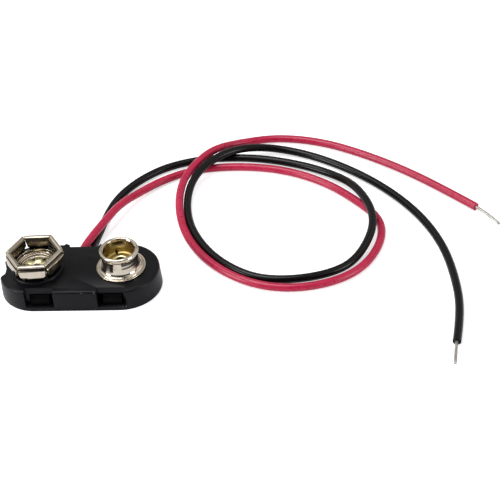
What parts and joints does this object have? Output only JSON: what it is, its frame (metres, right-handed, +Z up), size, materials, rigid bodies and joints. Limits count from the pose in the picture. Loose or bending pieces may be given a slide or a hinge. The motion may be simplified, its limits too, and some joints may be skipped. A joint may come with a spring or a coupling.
{
  "type": "battery snap connector",
  "caption": "Battery snap connector: flat black housing with round ends, a hexagonal spring socket and a round stud on top, and red and black insulated leads leaving a long side.",
  "frame": {"origin": "on the underside, below the middle of the housing, halfway between the two terminals", "axes": "+Z up through the terminals, +X from the socket towards the stud, +Y towards the long side that the leads leave"},
  "size_m": [0.0751, 0.0551, 0.0069],
  "materials": {
    "housing": "hard black moulding, satin, with fine mould and shear marks",
    "nickel_plate": "bright nickel plate on drawn brass sheet",
    "rivet_brass": "plain brass, rolled bright",
    "tag_brass": "stamped, dull",
    "tinned": "tinned copper strands and solder",
    "red_pvc": "satin red insulation",
    "black_pvc": "satin black insulation"
  },
  "bodies": {
    "root": {"top_shell": "housing", "bottom_cover": "housing", "female_snap": "nickel_plate", "male_snap": "nickel_plate", "female_eyelet": "rivet_brass", "male_eyelet": "rivet_brass", "female_tag": "tag_brass", "male_tag": "tag_brass", "female_solder": "tinned", "male_solder": "tinned", "red_inner_strands": "tinned", "black_inner_strands": "tinned", "red_bare_strands": "tinned", "black_bare_strands": "tinned", "red_insulation": "red_pvc", "black_insulation": "black_pvc"}
  },
  "joints": []
}
